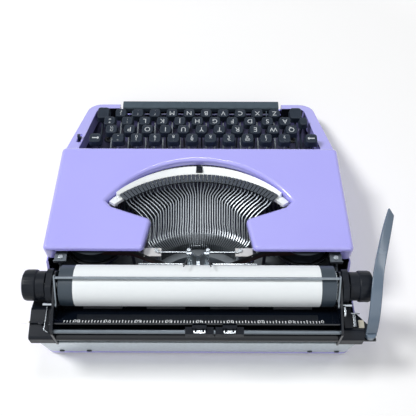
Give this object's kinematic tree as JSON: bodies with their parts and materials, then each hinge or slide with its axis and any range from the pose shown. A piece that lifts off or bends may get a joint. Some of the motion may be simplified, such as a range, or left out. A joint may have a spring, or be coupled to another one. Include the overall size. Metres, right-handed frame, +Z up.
{
  "type": "portable typewriter",
  "caption": "Portable manual typewriter: hinged ribbon cover over a fan of typebars, sloping keyboard, and a sliding carriage with platen, paper bail and return lever.",
  "frame": {"origin": "middle of the four foot bores, on the surface that the feet stand on", "axes": "+X to the typist's right along the carriage, +Y to the rear, +Z up"},
  "size_m": [0.3267, 0.2922, 0.1007],
  "materials": {
    "case_plastic": "lavender gloss moulding",
    "cover_plastic": "lavender gloss moulding",
    "rear_enamel": "pale blue-grey hammered enamel",
    "pan_steel": "black enamel",
    "foot_rubber": "black rubber",
    "frame_steel": "zinc-plated steel",
    "rod_steel": "ground steel",
    "segment_alloy": "cast, satin",
    "type_steel": "hardened steel",
    "rest_enamel": "white enamel",
    "bright_chrome": "nickel plate",
    "cup_enamel": "black enamel",
    "spool_plastic": "black moulding",
    "ribbon_cloth": "inked nylon",
    "key_plastic": "black gloss moulding",
    "space_plastic": "dark grey moulding",
    "clock_brass": "machined",
    "drum_steel": "blackened steel",
    "carriage_enamel": "black gloss enamel",
    "end_plastic": "black moulding",
    "platen_rubber": "ground dark grey rubber",
    "paper": "white writing paper",
    "lever_enamel": "slate grey enamel"
  },
  "bodies": {
    "frame": {"base_pan": "pan_steel", "body_shell": "case_plastic", "rear_panel": "rear_enamel", "rubber_feet": "foot_rubber", "side_frames": "frame_steel", "carriage_rails": "rod_steel", "key_fulcrum_rod": "rod_steel", "segment": "segment_alloy", "fulcrum_wire": "rod_steel", "typebars": "type_steel", "type_rest": "rest_enamel", "type_guide": "segment_alloy", "card_guides": "bright_chrome", "spool_cups": "cup_enamel", "ribbon": "ribbon_cloth", "cover_hinge_pins": "rod_steel"},
    "cover": {"ribbon_cover": "cover_plastic"},
    "left_spool": {"left_spool": "spool_plastic"},
    "right_spool": {"right_spool": "spool_plastic"},
    "vibrator": {"ribbon_vibrator": "bright_chrome"},
    "typebar_h": {"h_typebar": "type_steel"},
    "number_row": {"number_row_keys": "key_plastic", "number_row_levers": "frame_steel"},
    "top_row": {"top_row_keys": "key_plastic", "top_row_levers": "frame_steel"},
    "home_row": {"home_row_keys": "key_plastic", "home_row_levers": "frame_steel"},
    "bottom_row": {"bottom_row_keys": "key_plastic", "bottom_row_levers": "frame_steel"},
    "key_h": {"h_key": "key_plastic"},
    "space_bar": {"space_bar": "space_plastic"},
    "left_shift": {"left_shift_key": "key_plastic"},
    "right_shift": {"right_shift_key": "key_plastic"},
    "shift_lock": {"shift_lock_key": "key_plastic"},
    "backspace": {"backspace_key": "key_plastic"},
    "margin_release": {"margin_release_key": "key_plastic"},
    "ribbon_selector": {"ribbon_selector": "key_plastic"},
    "escapement": {"escapement_wheel": "clock_brass"},
    "drum": {"mainspring_drum": "drum_steel"},
    "truck": {"carriage_truck": "frame_steel", "escapement_rack": "rod_steel"},
    "carriage": {"carriage_frame": "carriage_enamel", "left_end_cover": "end_plastic", "right_end_cover": "end_plastic", "paper_table": "carriage_enamel", "back_rail": "carriage_enamel", "margin_rail": "rod_steel"},
    "front_rollers": {"front_feed_rollers": "rod_steel"},
    "rear_rollers": {"rear_feed_rollers": "rod_steel"},
    "left_stop": {"left_margin_stop": "drum_steel"},
    "right_stop": {"right_margin_stop": "drum_steel"},
    "platen": {"platen": "platen_rubber", "platen_shaft": "rod_steel", "left_knob": "end_plastic", "right_knob": "end_plastic", "paper_sheet": "paper"},
    "bail": {"paper_bail": "bright_chrome"},
    "return_lever": {"return_lever": "lever_enamel"},
    "paper_release": {"paper_release_lever": "bright_chrome"},
    "carriage_release": {"carriage_release_lever": "bright_chrome"}
  },
  "joints": [
    {"name": "cover_hinge", "type": "hinge", "parent": "frame", "child": "cover", "pos_m": [0, -0.0465, 0.064], "axis": [1, 0, 0], "range_deg": [0, 75]},
    {"name": "left_spool_turn", "type": "hinge", "parent": "frame", "child": "left_spool", "pos_m": [-0.098, 0.041, 0.06], "axis": [0, 0, 1], "continuous": true},
    {"name": "right_spool_turn", "type": "hinge", "parent": "frame", "child": "right_spool", "pos_m": [0.098, 0.041, 0.06], "axis": [0, 0, 1], "continuous": true},
    {"name": "number_row_press", "type": "hinge", "parent": "frame", "child": "number_row", "pos_m": [0, 0.062, 0.0102], "axis": [1, 0, 0], "range_deg": [0, 4.5], "stiffness_Nm_per_rad": 1, "springref_deg": -11.46},
    {"name": "top_row_press", "type": "hinge", "parent": "frame", "child": "top_row", "pos_m": [0, 0.062, 0.0102], "axis": [1, 0, 0], "range_deg": [0, 4.5], "stiffness_Nm_per_rad": 1, "springref_deg": -11.46},
    {"name": "home_row_press", "type": "hinge", "parent": "frame", "child": "home_row", "pos_m": [0, 0.062, 0.0102], "axis": [1, 0, 0], "range_deg": [0, 4.5], "stiffness_Nm_per_rad": 1, "springref_deg": -11.46},
    {"name": "bottom_row_press", "type": "hinge", "parent": "frame", "child": "bottom_row", "pos_m": [0, 0.062, 0.0102], "axis": [1, 0, 0], "range_deg": [0, 4.5], "stiffness_Nm_per_rad": 1, "springref_deg": -11.46},
    {"name": "h_key_press", "type": "hinge", "parent": "frame", "child": "key_h", "pos_m": [0, 0.062, 0.0102], "axis": [1, 0, 0], "range_deg": [0, 4.5], "stiffness_Nm_per_rad": 0.2, "springref_deg": -11.46},
    {"name": "h_typebar_swing", "type": "hinge", "parent": "frame", "child": "typebar_h", "pos_m": [-0.0011, 0.03619, 0.02594], "axis": [-0.9998, 0.0179, 0.006], "range_deg": [0, 100]},
    {"name": "vibrator_lift", "type": "slide", "parent": "frame", "child": "vibrator", "axis": [0, 0, 1], "range_m": [0, 0.012], "deforming": ["ribbon"]},
    {"name": "space_bar_press", "type": "hinge", "parent": "frame", "child": "space_bar", "pos_m": [0, 0.062, 0.0102], "axis": [1, 0, 0], "range_deg": [0, 2], "stiffness_Nm_per_rad": 0.5, "springref_deg": -11.46},
    {"name": "left_shift_press", "type": "hinge", "parent": "frame", "child": "left_shift", "pos_m": [0, 0.062, 0.0102], "axis": [1, 0, 0], "range_deg": [0, 4.6]},
    {"name": "right_shift_press", "type": "hinge", "parent": "frame", "child": "right_shift", "pos_m": [0, 0.062, 0.0102], "axis": [1, 0, 0], "range_deg": [0, 4.6]},
    {"name": "shift_lock_press", "type": "hinge", "parent": "frame", "child": "shift_lock", "pos_m": [0, 0.062, 0.0102], "axis": [1, 0, 0], "range_deg": [0, 4.5], "stiffness_Nm_per_rad": 0.2, "springref_deg": -11.46},
    {"name": "backspace_press", "type": "hinge", "parent": "frame", "child": "backspace", "pos_m": [0, 0.062, 0.0102], "axis": [1, 0, 0], "range_deg": [0, 4.5], "stiffness_Nm_per_rad": 0.2, "springref_deg": -11.46},
    {"name": "margin_release_press", "type": "hinge", "parent": "frame", "child": "margin_release", "pos_m": [0, 0.062, 0.0102], "axis": [1, 0, 0], "range_deg": [0, 4.5], "stiffness_Nm_per_rad": 0.2, "springref_deg": -11.46},
    {"name": "ribbon_selector_tilt", "type": "hinge", "parent": "frame", "child": "ribbon_selector", "pos_m": [0.128, -0.078, 0.038], "axis": [1, 0, 0], "range_deg": [-8, 8]},
    {"name": "carriage_slide", "type": "slide", "parent": "frame", "child": "truck", "axis": [-1, 0, 0], "range_m": [-0.095, 0.095]},
    {"name": "escapement_turn", "type": "hinge", "parent": "frame", "child": "escapement", "pos_m": [0, 0.128, 0.032], "axis": [0, -1, 0], "continuous": true},
    {"name": "drum_turn", "type": "hinge", "parent": "frame", "child": "drum", "pos_m": [-0.088, 0.128, 0.024], "axis": [0, -1, 0], "continuous": true},
    {"name": "carriage_lift", "type": "slide", "parent": "truck", "child": "carriage", "axis": [0, 0, 1], "range_m": [0, 0.006]},
    {"name": "platen_turn", "type": "hinge", "parent": "carriage", "child": "platen", "pos_m": [0, 0.101, 0.077], "axis": [1, 0, 0], "continuous": true},
    {"name": "front_roller_turn", "type": "hinge", "parent": "carriage", "child": "front_rollers", "pos_m": [0, 0.09143, 0.05647], "axis": [1, 0, 0], "continuous": true},
    {"name": "rear_roller_turn", "type": "hinge", "parent": "carriage", "child": "rear_rollers", "pos_m": [0, 0.11057, 0.05647], "axis": [1, 0, 0], "continuous": true},
    {"name": "left_stop_slide", "type": "slide", "parent": "carriage", "child": "left_stop", "axis": [-1, 0, 0], "range_m": [0, 0.08]},
    {"name": "right_stop_slide", "type": "slide", "parent": "carriage", "child": "right_stop", "axis": [1, 0, 0], "range_m": [0, 0.095]},
    {"name": "bail_swing", "type": "hinge", "parent": "carriage", "child": "bail", "pos_m": [0, 0.119, 0.078], "axis": [-1, 0, 0], "range_deg": [0, 60]},
    {"name": "return_lever_swing", "type": "hinge", "parent": "carriage", "child": "return_lever", "pos_m": [-0.149, 0.1385, 0.062], "axis": [0, 0, 1], "range_deg": [0, 18], "stiffness_Nm_per_rad": 0.3, "springref_deg": -5.73},
    {"name": "paper_release_swing", "type": "hinge", "parent": "carriage", "child": "paper_release", "pos_m": [-0.1245, 0.127, 0.065], "axis": [-1, 0, 0], "range_deg": [0, 18]},
    {"name": "carriage_release_swing", "type": "hinge", "parent": "carriage", "child": "carriage_release", "pos_m": [0.134, 0.131, 0.066], "axis": [0, 0, 1], "range_deg": [0, 15], "stiffness_Nm_per_rad": 0.05, "springref_deg": -5.73}
  ],
  "couplings": [
    {"joint": "right_spool_turn", "follows": "left_spool_turn", "ratio": 1},
    {"joint": "h_typebar_swing", "follows": "h_key_press", "ratio": 22.222},
    {"joint": "vibrator_lift", "follows": "h_key_press", "m_per_rad": 0.1527},
    {"joint": "left_shift_press", "follows": "carriage_lift", "rad_per_m": 13.09},
    {"joint": "right_shift_press", "follows": "carriage_lift", "rad_per_m": 13.09},
    {"joint": "escapement_turn", "follows": "carriage_slide", "rad_per_m": 100},
    {"joint": "drum_turn", "follows": "carriage_slide", "rad_per_m": 66.667},
    {"joint": "front_roller_turn", "follows": "platen_turn", "ratio": -3.9667},
    {"joint": "rear_roller_turn", "follows": "platen_turn", "ratio": -3.9667}
  ]
}
